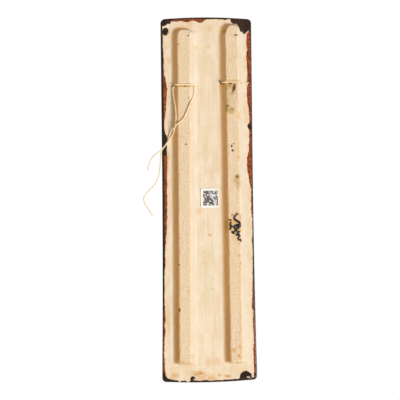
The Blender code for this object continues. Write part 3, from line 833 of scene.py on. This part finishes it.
ACROSS_STOPS = (
    (-0.044, 0), (-0.0385, 0.0005), (-0.011, 0.00055), (0.0105, 0.0011), (0.04, 0.00053),
    (0.044, 0.0005),
)
UP_STOPS = (
    (-0.2966, 0), (-0.273, 0.0007), (-0.235, 0.001), (-0.161, 0.0012), (-0.13, 0.0005),
    (-0.101, 0.0012), (-0.09, 0.0007), (-0.072, 0.0012), (-0.05, 0.0008), (-0.034, 0.001),
    (-0.006, 0.0006), (0.006, 0.0004), (0.046, 0.0011), (0.0654, 0.0006),
)
FRONT_INSETS = (0.006, 0.010, 0.015, 0.021, 0.028, 0.036)
FRONT_SWELL = 0.0003


def ring_profile():
    """(inset, rise) steps round the edge, from the back face over the rim to the front face."""
    found = []
    steps = 3
    for k in range(1, steps + 1):
        angle = math.pi / 2 * k / steps
        found.append((BACK_RIM_ROUND * (1 - math.sin(angle)), BACK_RIM_ROUND * (math.cos(angle) - 1)))
    foot = FRONT_RIM_ROUND - SLAB_THICKNESS
    found.append((0.0, (foot - BACK_RIM_ROUND) / 2))
    steps = 5
    for k in range(steps + 1):
        angle = math.pi / 2 * k / steps
        inset = FRONT_RIM_ROUND * (1 - math.cos(angle))
        found.append((inset, foot - FRONT_RIM_ROUND * math.sin(angle)))
    return found


def bent_round(share_across, share_up, half_wide, half_high, radius):
    """Across and up for shares of -1 to 1 of a rectangle, its corners bent round."""
    side, end = np.abs(share_across) * half_wide, np.abs(share_up) * half_high
    from_side = np.maximum(side - (half_wide - radius), 0) / radius
    from_end = np.maximum(end - (half_high - radius), 0) / radius
    side = np.minimum(side, half_wide - radius) + from_side * np.sqrt(1 - from_end**2 / 2) * radius
    end = np.minimum(end, half_high - radius) + from_end * np.sqrt(1 - from_side**2 / 2) * radius
    return np.sign(share_across) * side, np.sign(share_up) * end


def outline_grid(columns, rows, inset):
    """Across and up for a grid that fills the slab's outline, pulled in by an inset. Columns and
    rows are shares from -1 to 1, and the grid's corners are bent round."""
    middle = (TOP_ABOVE_HOLES - FOOT_BELOW_HOLES) / 2
    half_wide, half_high = TOP_WIDTH / 2, (TOP_ABOVE_HOLES + FOOT_BELOW_HOLES) / 2
    across, up = bent_round(*np.meshgrid(columns, rows), half_wide, half_high, CORNER_RADIUS)
    share_across, share_up = across / half_wide, up / half_high
    up = middle + up
    for _ in range(3):
        across = share_across * (half_width(up) - inset)
        high, low = top_edge(across) - inset, foot_edge(across) + inset
        up = (high + low) / 2 + share_up * (high - low) / 2
    return across, up


def grid_quads(index):
    """The quads of a grid of vertex numbers."""
    corners = index[:-1, :-1], index[:-1, 1:], index[1:, 1:], index[1:, :-1]
    return np.stack([corner.ravel() for corner in corners], axis=-1)


def border(index):
    """The vertex numbers round the border of a grid, in order."""
    return np.concatenate([index[0, :-1], index[:-1, -1], index[-1, :0:-1], index[:0:-1, 0]])


def ring_quads(ring, behind):
    """The quads between a ring of vertex numbers and the one behind it."""
    return np.stack([ring, np.roll(ring, -1), np.roll(behind, -1), behind], axis=-1)


def quad_mesh(name, places, quads):
    """A mesh from places, as lists of across, up and rise, and lists of quads."""
    across, up, rise = np.concatenate(places).T
    mesh = bpy.data.meshes.new(name)
    vertices = np.stack([-across, rise - RIB_PROUD, up], axis=-1)
    mesh.from_pydata(vertices.tolist(), [], np.concatenate(quads).tolist())
    mesh.validate()
    return mesh


def set_attribute(mesh, name, values):
    field = mesh.attributes.new(name, "FLOAT", "POINT")
    field.data.foreach_set("value", np.asarray(values, dtype=np.float32))


def to_mesh(bm, name):
    mesh = bpy.data.meshes.new(name)
    bm.to_mesh(mesh)
    bm.free()
    return mesh


def close_tube(bm, rings):
    """Faces round a row of rings of vertices, and one over each end."""
    for low, high in zip(rings, rings[1:]):
        for j in range(len(low)):
            bm.faces.new((low[j - 1], low[j], high[j], high[j - 1]))
    bm.faces.new(rings[0][::-1])
    bm.faces.new(rings[-1])


def plaque_mesh():
    """The plaque as one closed mesh: a fine grid on each face, joined round the rim."""
    columns, rows = spaced(ACROSS_STOPS), spaced(UP_STOPS)
    columns = columns / np.abs(columns).max()
    rows = (rows - rows[0]) / (rows[-1] - rows[0]) * 2 - 1
    wide, high = len(columns), len(rows)
    across, up = outline_grid(columns, rows, BACK_RIM_ROUND)
    places = [np.stack([across, up, back_rise(across, up)], axis=-1).reshape(-1, 3)]
    index = np.arange(wide * high).reshape(high, wide)
    loop = border(index)
    rings = [loop]
    start = wide * high
    for inset, rise in ring_profile() + [(inset, -SLAB_THICKNESS) for inset in FRONT_INSETS]:
        across, up = (part.ravel()[loop] for part in outline_grid(columns, rows, inset))
        lifted = lap_rise(across, up) * (rise > -BACK_RIM_ROUND)
        if rise == -SLAB_THICKNESS:
            swell = smooth_step((inset - FRONT_RIM_ROUND) / 0.009)
            uneven = layered_noise(across, up, 0.035, 51, 2) * smooth_step((0.034 - inset) / 0.015)
            lifted = FRONT_SWELL * swell * (1 + uneven) / 2
        places.append(np.stack([across, up, rise + lifted], axis=-1))
        rings.append(start + np.arange(len(loop)))
        start += len(loop)
    quads = [grid_quads(index)]
    quads += [ring_quads(ring, behind) for behind, ring in zip(rings, rings[1:])]
    # The front's middle is filled straight across, and its two ends pair by pair
    last = rings[-1]
    side, end = high - 1, wide - 1
    left = np.concatenate([last[:1], last[:-side - 1:-1]])
    right = last[end:end + side + 1]
    quads.append(np.stack([left[:-1], left[1:], right[1:], right[:-1]], axis=-1))
    pair = np.arange(wide // 2 - 1)
    for row in (last[:wide], last[end + side:end + side + wide]):
        crown = [row[pair], row[end - pair], row[end - 1 - pair], row[pair + 1]]
        quads.append(np.stack(crown, axis=-1))
    return quad_mesh("plaque", places, quads)


def cut_holes(plaque):
    """Cuts the two pierced holes right through the ribs, slightly ragged."""
    bm = bmesh.new()
    sides, steps = 28, 22
    for seed, rib in enumerate(RIBS):
        reach = rib.half(rib.hole_up) + rib.flank_run + CORNER_RADIUS
        rings = []
        for k in range(steps + 1):
            across = rib.centre(rib.hole_up) + reach * (2 * k / steps - 1)
            filled = rib.mouth_filled * float(smooth_step((k / steps - 0.55) / 0.25))
            ring = []
            for j in range(sides):
                angle = 2 * math.pi * j / sides
                wander = lattice_noise(np.array([k * 0.6]), np.array([j * 0.5]), 61 + seed)[0]
                radius = (HOLE_DIAMETER / 2 + 0.00012 * wander) * (1 - filled)
                up = rib.hole_up + radius * math.cos(angle)
                ring.append(bm.verts.new(point(across, up, HOLE_RISE + radius * math.sin(angle))))
            rings.append(ring)
        close_tube(bm, rings)
    bmesh.ops.recalc_face_normals(bm, faces=bm.faces)
    cutter = link("holes", to_mesh(bm, "holes"))
    cut = plaque.modifiers.new("holes", "BOOLEAN")
    cut.operation = "DIFFERENCE"
    cut.solver = "EXACT"
    cut.object = cutter
    depsgraph = bpy.context.evaluated_depsgraph_get()
    done = bpy.data.meshes.new_from_object(plaque.evaluated_get(depsgraph))
    plaque.modifiers.clear()
    plaque.data = done
    bpy.data.objects.remove(cutter)


def paint_plaque(mesh):
    """Gives each vertex what the ceramic's material reads: where glaze, rust and stains are, and where
    shade and a darker tone on the lit flanks are painted.
    """
    places = np.empty(len(mesh.vertices) * 3, dtype=np.float32)
    mesh.vertices.foreach_get("co", places)
    places = places.reshape(-1, 3).astype(float)
    across, up, rise = -places[:, 0], places[:, 2], places[:, 1] + RIB_PROUD
    on_back = rise > -BACK_RIM_ROUND - 0.0003
    # Round the rim and on the front all is glaze
    lap = np.where(on_back, lap_width(across, up), 0.004)
    lap = np.maximum(lap, (-rise - BACK_RIM_ROUND + 0.0002) * 2)
    from_top, from_foot = top_edge(across) - up, up - foot_edge(across)
    edge = np.minimum(np.minimum(half_width(up) - np.abs(across), from_top), from_foot)
    # The lap is rusty inside its dark margin, apart from the black patches
    narrows = smooth_step((DARK_NARROWS_AT - up) / 0.008)
    dark = np.where(across < 0, DARK_LEFT - (DARK_LEFT - DARK_RIGHT) * narrows, DARK_RIGHT)
    dark = np.where(from_top < 0.004, DARK_TOP, dark)
    rust = smooth_step((edge - dark) / 0.0007 + 0.5)
    rust = rust * (1 - smooth_step(spot_distance(across, up, BLACK_PATCHES) / 0.0008 + 0.6))
    # On the front's rounded edge the glaze breaks to rust
    breaking = smooth_step((rise + SLAB_THICKNESS) / 0.0008) * smooth_step((0.0028 - edge) / 0.001)
    breaking = breaking * smooth_step((FRONT_RIM_ROUND - SLAB_THICKNESS - rise) / 0.001)
    top, painted_shade, pale, worn, painted_hole_shade = np.zeros((5, len(across)))
    for rib in RIBS:
        distance = worn_distance(rib, across, up)
        right, right_edge = across > rib.centre(up), rib.edge(1, up)
        top = np.maximum(top, smooth_step(0.5 - distance / 0.0010))
        # Painted shade on the flank at the left of the rib and over its head, and a painted darker
        # tone on the lit flank at its right, against the light that falls on it
        outwards = rib.distance(across, up) / rib.flank_run
        in_flank = smooth_step((distance + 0.0007) / 0.0009) * smooth_step((1.05 - outwards) / 0.62)
        shaded = (across < rib.centre(up)) * smooth_step((rib.top_end + 0.001 - up) / 0.006)
        shade_ends = rib.centre(up) + rib.head_shade_ends
        over_head = (up > rib.top_end - 0.003) * smooth_step((shade_ends - across) / 0.005)
        shaded = np.maximum(shaded, 0.9 * over_head)
        shaded = shaded * (0.86 + 0.14 * smooth_step(rib.share_down(up)))
        shaded = shaded * smooth_step((up - rib.foot_end + 0.0012) / 0.0030)
        painted_shade = np.maximum(painted_shade, in_flank * shaded * rib.painted_shade_tone)
        # Where the darker tone is painted on the lit flank
        lit = smooth_step(distance / 0.0012) * smooth_step((rib.flank_run - distance) / 0.003)
        pale = np.maximum(pale, lit * right)
        # The brown line along the top's right edge, wider low down on the right rib
        along = (up < rib.top_end) & (up > rib.foot_end)
        line = np.exp(-(((across - right_edge + 0.0003) / 0.0007) ** 2)) * along
        line = line * (0.55 + 0.45 * layered_noise(across, up, 0.008, 95, 2))
        low_line = np.exp(-(((across - right_edge + 0.0012) / 0.0013) ** 2)) * along
        low_line = low_line * smooth_step((-0.15 - up) / 0.05) * (across > 0) * 0.75
        worn = np.maximum(worn, np.maximum(line, low_line))
        # Painted shade inside the pierced hole, in ochre
        filled = rib.mouth_filled * (across > rib.centre(up) + 0.002)
        from_hole = np.hypot(up - rib.hole_up, rise - HOLE_RISE)
        in_hole = from_hole < HOLE_DIAMETER / 2 * (1 - filled) + 0.0002
        painted_hole_shade = np.maximum(painted_hole_shade, 0.8 * in_hole * (distance < rib.flank_run))
    outer = smooth_step((0.016 - edge) / 0.010) * (1 - 0.45 * smooth_step((-0.10 - up) / 0.08))
    # Ochre stains and wear, with painted shade inside the holes and along the notches
    ochre_and_painted_shade = np.maximum(blots(across, up, OCHRE_STAINS_AND_PAINTED_SHADE), np.maximum(0.34 * worn, painted_hole_shade))
    # Dark spots and residue, with painted shade at the holes' mouths and in the notches
    dots_and_painted_shade = blots(across, up, DARK_MARKS_AND_PAINTED_SHADE)
    for trails, _, _, half_painted, strength in TRAILS:
        dots_and_painted_shade = np.maximum(dots_and_painted_shade, strength * trail_depth(across, up, trails, half_painted))
    set_attribute(mesh, "lap", lap * 1000)
    set_attribute(mesh, "breaking", breaking)
    set_attribute(mesh, "browner", smooth_step((-0.215 - up) / 0.020))
    for name, values in (
        ("rust", rust),
        ("rib_top", top),
        ("painted_shade", painted_shade),
        ("pale", pale),
        ("outer", np.maximum(outer * 0.75, smooth_step((-0.272 - up) / 0.018))),
        ("olive", blots(across, up, OLIVE_STAINS)),
        ("ochre_and_painted_shade", ochre_and_painted_shade),
        ("dots_and_painted_shade", dots_and_painted_shade),
    ):
        set_attribute(mesh, name, values * on_back)


def ceramic_material():
    """Bare clay on the back, with shade painted on the ribs' flanks, holes and notches, and glossy
    dark glaze round it, in one material.
    """
    n = Nodes("ceramic")
    grain = n.noise(1500, 3, 0.6)
    mottle = n.noise((90, 90, 55), 5, 0.6)
    cloud = n.noise((28, 28, 14), 3)
    streak = n.noise((420, 420, 26), 4, 0.6)
    speck = n.noise(620, 2)
    blotch = n.noise((210, 210, 130), 4, 0.6)
    patchy = n.noise((330, 330, 150), 4, 0.65)
    broken = n.noise(480, 4, 0.65)
    fringe = n.noise(1100, 3, 0.6)
    fleck = n.noise((700, 700, 420), 4, 0.6)
    pool = n.noise((60, 60, 34), 4, 0.55)
    rib_top, browner = n.attribute("rib_top"), n.attribute("browner")

    rough_top = n.mix(n.ramp(speck, 0.36, 0.70), colour(229, 206, 173), colour(209, 180, 142))
    outer = n.times(n.attribute("outer"), n.ramp(blotch, 0.45, 0.72))
    painted_shade = n.times(n.attribute("painted_shade"), n.ramp(mottle, 0.2, 0.6, 0.8, 1.0))
    olive = n.times(n.attribute("olive"), n.ramp(broken, 0.28, 0.62, 0.45, 1.2))
    ochre_and_painted_shade = n.times(n.attribute("ochre_and_painted_shade"), n.ramp(broken, 0.28, 0.62, 0.5, 1.15))
    dots_and_painted_shade = n.plus(n.attribute("dots_and_painted_shade"), n.ramp(broken, 0.3, 0.7, -0.08, 0.08))
    black = n.ramp(dots_and_painted_shade, 0.6, 0.85)
    lap = n.plus(n.attribute("lap"), n.ramp(fringe, 0.3, 0.7, -0.26, 0.26))
    glazed = n.ramp(lap, -0.10, 0.14)
    # The painted shade's colour on the ribs' shaded flanks, darker towards the foot
    shade = n.mix(browner, colour(235, 173, 95), colour(223, 161, 87))
    # Colour of the ochre stains and of the painted shade in holes and notches, darker towards the foot
    ochre_and_painted_shade_colour = n.mix(browner, colour(211, 155, 42), colour(206, 141, 48))
    clay = n.mix(n.ramp(mottle, 0.3, 0.7), colour(224, 204, 172), colour(235, 220, 197))
    for share, tone in (
        (n.ramp(cloud, 0.35, 0.7, 0.0, 0.5), colour(233, 211, 183)),
        (n.ramp(streak, 0.45, 0.72, 0.0, 0.50), colour(216, 189, 150)),
        # Painted darker tone on the lit right flanks, against the light that falls on them
        (n.times(n.attribute("pale"), 0.60), colour(197, 186, 170)),
        (n.times(rib_top, 0.80), rough_top),
        (n.times(outer, 0.54), colour(220, 174, 112)),
        (n.ramp(patchy, 0.56, 0.74, 0.0, 0.35), colour(214, 172, 116)),
        (n.ramp(grain, 0.58, 0.76, 0.0, 0.42), colour(184, 146, 102)),
        # Painted shade on the ribs' shaded flanks and heads
        (n.times(painted_shade, 0.96), shade),
        (n.times(olive, 0.95, True), colour(168, 134, 50)),
        (n.times(ochre_and_painted_shade, 0.95, True), ochre_and_painted_shade_colour),
        (n.ramp(dots_and_painted_shade, 0.22, 0.5, 0.0, 0.9), colour(104, 66, 32)),
        (black, colour(34, 28, 26)),
        (n.times(n.ramp(lap, -0.8, -0.05), 0.30), colour(214, 156, 92)),
    ):
        clay = n.mix(share, clay, tone)

    # The glaze is rusty where it is thin and nearly black where it is thick
    rust = n.mix(n.ramp(fleck, 0.38, 0.60), colour(104, 38, 14), colour(170, 84, 36))
    rust = n.mix(n.ramp(blotch, 0.50, 0.66, 0.0, 0.75), rust, colour(74, 30, 18))
    rust = n.mix(n.ramp(fringe, 0.54, 0.70, 0.0, 0.85), rust, colour(52, 22, 14))
    deep = n.mix(n.ramp(pool, 0.35, 0.68), colour(32, 17, 9), colour(56, 35, 22))
    thin = n.plus(n.attribute("rust"), n.ramp(fleck, 0.3, 0.7, -0.3, 0.3), True)
    glaze = n.mix(n.ramp(thin, 0.35, 0.65), deep, rust)
    glaze = n.mix(n.ramp(lap, 0.15, 0.60, 0.75, 0.0), glaze, colour(60, 26, 14))
    breaking = n.plus(n.attribute("breaking"), n.ramp(pool, 0.3, 0.7, -0.35, 0.35), True)
    glaze = n.mix(n.ramp(breaking, 0.35, 0.8, 0.0, 0.9), glaze, colour(104, 46, 24))

    # The black residue is shiny, and the clay is rougher on the ribs' tops
    clay_rough = n.mix_value(black, n.ramp(grain, 0.3, 0.7, 0.82, 0.96), 0.25)
    glaze_rough = n.ramp(fleck, 0.3, 0.7, 0.10, 0.30)
    height = n.plus(n.swing(speck, n.ramp(rib_top, 0, 1, 0.6, 1.0)), n.swing(grain, 0.6))
    height = n.plus(height, n.swing(streak, 0.6))
    n.fill(
        n.shader,
        Base_Color=n.mix(glazed, clay, glaze),
        Roughness=n.mix_value(glazed, clay_rough, glaze_rough),
        Specular_IOR_Level=0.45,
        Normal=n.bump(n.mix_value(glazed, height, n.swing(fleck, 0.15)), 0.00022),
    )
    return n.material


def ceramic_plaque():
    plaque = link("ceramic_body", plaque_mesh())
    cut_holes(plaque)
    paint_plaque(plaque.data)
    plaque.data.shade_smooth()
    plaque.data.materials.clear()
    plaque.data.materials.append(ceramic_material())
    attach(plaque, "root")
    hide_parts("ceramic_plaque")
    return plaque


# The twine

def twine_material(name):
    n = Nodes(name)
    fibre = n.noise(2600, 4, 0.7)
    tone = n.noise(160, 3)
    base = n.mix(n.ramp(tone, 0.3, 0.7), colour(240, 214, 168), colour(247, 229, 196))
    base = n.mix(n.ramp(fibre, 0.5, 0.75, 0.0, 0.5), base, colour(204, 160, 106))
    n.fill(n.shader, Base_Color=base, Roughness=0.82, Sheen_Weight=0.15, Normal=n.bump(fibre, 0.00012))
    return n.material


def frames_along(points):
    """A direction along and two across it at each point, turning as little as they can."""
    found = []
    side = None
    for k, _ in enumerate(points):
        ahead = (points[min(k + 1, len(points) - 1)] - points[max(k - 1, 0)]).normalized()
        if side is None:
            side = ahead.orthogonal().normalized()
        side = (side - ahead * side.dot(ahead)).normalized()
        found.append((ahead, side, ahead.cross(side)))
    return found


def twisted_twine(name, points, seed):
    """Two plies wound round each other along the points, with loose fibres standing off."""
    rng = np.random.default_rng(seed)
    frames = frames_along(points)
    travelled = [0.0]
    for a, b in zip(points, points[1:]):
        travelled.append(travelled[-1] + (b - a).length)
    bm = bmesh.new()
    for ply in range(2):
        rings = []
        for k, (middle, (ahead, side, other)) in enumerate(zip(points, frames)):
            turn = 2 * math.pi * travelled[k] / LAY_LENGTH + math.pi * ply
            swell = 1 + 0.10 * math.sin(travelled[k] * 900 + ply * 2.1 + seed)
            radius = PLY_RADIUS * swell * (0.82 if k in (0, len(points) - 1) else 1.0)
            centre = middle + (side * math.cos(turn) + other * math.sin(turn)) * PLY_OFF_CENTRE
            ring = []
            for j in range(PLY_SIDES):
                angle = 2 * math.pi * j / PLY_SIDES
                out = side * math.cos(angle) + other * math.sin(angle)
                ring.append(bm.verts.new(centre + out * radius))
            rings.append(ring)
        close_tube(bm, rings)
    for _ in range(int(travelled[-1] / FIBRE_SPACING)):
        k = int(rng.integers(1, len(points) - 1))
        ahead, side, other = frames[k]
        angle = rng.uniform(0, 2 * math.pi)
        out = side * math.cos(angle) + other * math.sin(angle)
        length = rng.uniform(*FIBRE_LENGTHS)
        root = points[k] + out * FIBRE_ROOT
        lean = ahead * rng.choice([-1.0, 1.0])
        across = ahead.cross(out) * FIBRE_HALF_WIDTH
        tip = root + (lean * 0.8 + out * rng.uniform(0.15, 0.5)) * length
        middle = (root + tip) / 2 + out * length * 0.08
        low = [bm.verts.new(root + across), bm.verts.new(root - across)]
        mid = [bm.verts.new(middle + across * 0.7), bm.verts.new(middle - across * 0.7)]
        bm.faces.new((low[0], low[1], mid[1], mid[0]))
        bm.faces.new((mid[0], mid[1], bm.verts.new(tip)))
    bmesh.ops.recalc_face_normals(bm, faces=bm.faces)
    mesh = to_mesh(bm, name)
    mesh.shade_smooth()
    return link(name, mesh)


def twine(name, node, route, seed):
    points = smooth_route(route, POINT_SPACING)
    piece = twisted_twine(name, points, seed)
    piece.data.materials.append(twine_material(name + "_hemp"))
    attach(piece, "root")
    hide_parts(node)
    return piece, points


def all_twine():
    for name, node, slot, route, length, seed in (
        ("short_tail", "string_left_short_tail", "short_tail_twine", short_tail_route(),
         SHORT_TAIL_LENGTH, 71),
        ("long_tail", "string_left_long_tail", "long_tail_twine", long_tail_route(),
         LONG_TAIL_LENGTH, 72),
    ):
        piece, points = twine(name, node, route, seed)
    twine("left_loop", "string_left_loop", left_loop_route(), 81)
    twine("right_loop", "string_right_loop", right_loop_route(), 82)


# The paper label

def label_material():
    """White paper with a plain dark brick pattern printed on it."""
    n = Nodes("printed_paper")
    brick = n.add("ShaderNodeTexBrick", offset=0.5, squash=1.0)
    n.fill(
        brick,
        Vector=n.place((1000, 1000, 1000), (math.radians(90), 0, 0)),
        Scale=1.0,
        Brick_Width=1.55,
        Row_Height=1.25,
        Mortar_Size=0.10,
        Mortar_Smooth=0.1,
        Bias=0.0,
        Color1=(0.0, 0.0, 0.0, 1.0),
        Color2=(1.0, 1.0, 1.0, 1.0),
        Mortar=(0.62, 0.62, 0.62, 1.0),
    )
    ink = n.mix(n.ramp(brick.outputs["Color"], 0.33, 0.95), colour(30, 22, 24), colour(236, 233, 230))
    fibre = n.noise(900, 4, 0.6)
    paper = n.mix(n.ramp(fibre, 0.3, 0.7), colour(246, 245, 241), colour(236, 234, 229))
    printed = n.ramp(n.attribute("printed"), 0.45, 0.55)
    base = n.mix(printed, paper, ink)
    n.fill(n.shader, Base_Color=base, Roughness=0.6, Normal=n.bump(fibre, 0.00003))
    return n.material


def paper_label():
    """The label as a thin sheet whose corners lift a little."""
    shares = np.linspace(-1, 1, LABEL_GRID)
    shares = np.meshgrid(shares, shares)
    across, up = bent_round(*shares, LABEL_WIDTH / 2, LABEL_HEIGHT / 2, LABEL_CORNER)
    lift = CORNER_LIFT * smooth_step((np.abs(across) + np.abs(up) - 0.0135) / 0.004)
    lift = np.maximum(lift + 0.00004 * layered_noise(across, up, 0.006, 91, 2), 0.0)
    printed = 0.5 + (PRINT_HALF - np.maximum(np.abs(across - PRINT_ACROSS), np.abs(up))) / 0.001
    places = []
    for rise in (GAP, GAP + LABEL_THICKNESS):
        face = np.stack([LABEL_ACROSS + across, LABEL_UP + up, rise + lift], axis=-1)
        places.append(face.reshape(-1, 3))
    under = np.arange(across.size).reshape(across.shape)
    over = under + across.size
    quads = [grid_quads(under)[:, ::-1], grid_quads(over), ring_quads(border(under), border(over))]
    mesh = quad_mesh("label", places, quads)
    set_attribute(mesh, "printed", np.concatenate([np.zeros(across.size), printed.ravel()]))
    mesh.shade_smooth()
    mesh.set_sharp_from_angle(angle=math.radians(40))
    label = link("label_sheet", mesh)
    mesh.materials.append(label_material())
    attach(label, "root")
    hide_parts("paper_label")


# Camera, lights and floor

def camera():
    data = bpy.data.cameras.new("camera")
    data.sensor_width = SENSOR_WIDTH
    data.lens = SENSOR_WIDTH * CAMERA_DISTANCE / (PICTURE * PIXEL)
    data.clip_end = 50.0
    made = link("camera", data)
    across, up = on_plaque(PICTURE / 2, PICTURE / 2)
    right = Vector((-math.cos(TILT), 0.0, -math.sin(TILT)))
    above = Vector((-math.sin(TILT), 0.0, math.cos(TILT)))
    back = Vector((0.0, 1.0, 0.0))
    turned = Matrix((right, above, back)).transposed().to_4x4()
    spot = Vector((-across, CAMERA_DISTANCE - RIB_PROUD, up))
    made.matrix_world = Matrix.Translation(spot) @ turned
    bpy.context.scene.camera = made


def area_light(name, direction, distance, size, power, tint):
    """A soft square light that shines on the plaque's middle from a direction."""
    data = bpy.data.lights.new(name, "AREA")
    data.size = size
    data.energy = power
    data.color = tint
    made = link(name, data)
    middle = Vector((0.0, 0.0, MIDDLE_UP))
    direction = Vector(direction).normalized()
    made.location = middle + direction * distance
    made.rotation_euler = direction.to_track_quat("Z", "Y").to_euler()


def lights():
    for light in LIGHTS:
        area_light(*light)
    world = bpy.data.worlds.new("studio")
    bpy.context.scene.world = world
    world.use_nodes = True
    nodes, links = world.node_tree.nodes, world.node_tree.links
    nodes["Background"].inputs["Color"].default_value = (*FILL_TINT, 1.0)
    nodes["Background"].inputs["Strength"].default_value = FILL_STRENGTH
    seen = nodes.new("ShaderNodeBackground")
    seen.inputs["Color"].default_value = (1.0, 1.0, 1.0, 1.0)
    seen.inputs["Strength"].default_value = 1.0
    path = nodes.new("ShaderNodeLightPath")
    both = nodes.new("ShaderNodeMixShader")
    links.new(path.outputs["Is Camera Ray"], both.inputs["Fac"])
    links.new(nodes["Background"].outputs["Background"], both.inputs[1])
    links.new(seen.outputs["Background"], both.inputs[2])
    links.new(both.outputs["Shader"], nodes["World Output"].inputs["Surface"])


def floor():
    n = Nodes("pale_floor")
    speck = n.noise(30, 3)
    pale = n.mix(n.ramp(speck, 0.3, 0.7), colour(238, 237, 234), colour(230, 229, 226))
    n.fill(n.shader, Base_Color=pale, Roughness=0.8)
    bm = bmesh.new()
    bmesh.ops.create_circle(bm, cap_ends=True, segments=96, radius=FLOOR_RADIUS)
    mesh = to_mesh(bm, "floor")
    disc = link("floor", mesh)
    disc.location = (0.0, 0.0, -FOOT_BELOW_HOLES - FLOOR_BELOW_FOOT)
    mesh.materials.append(n.material)


camera()
all_twine()
ceramic_plaque()
paper_label()
lights()
floor()
bpy.context.scene.view_settings.view_transform = "Standard"
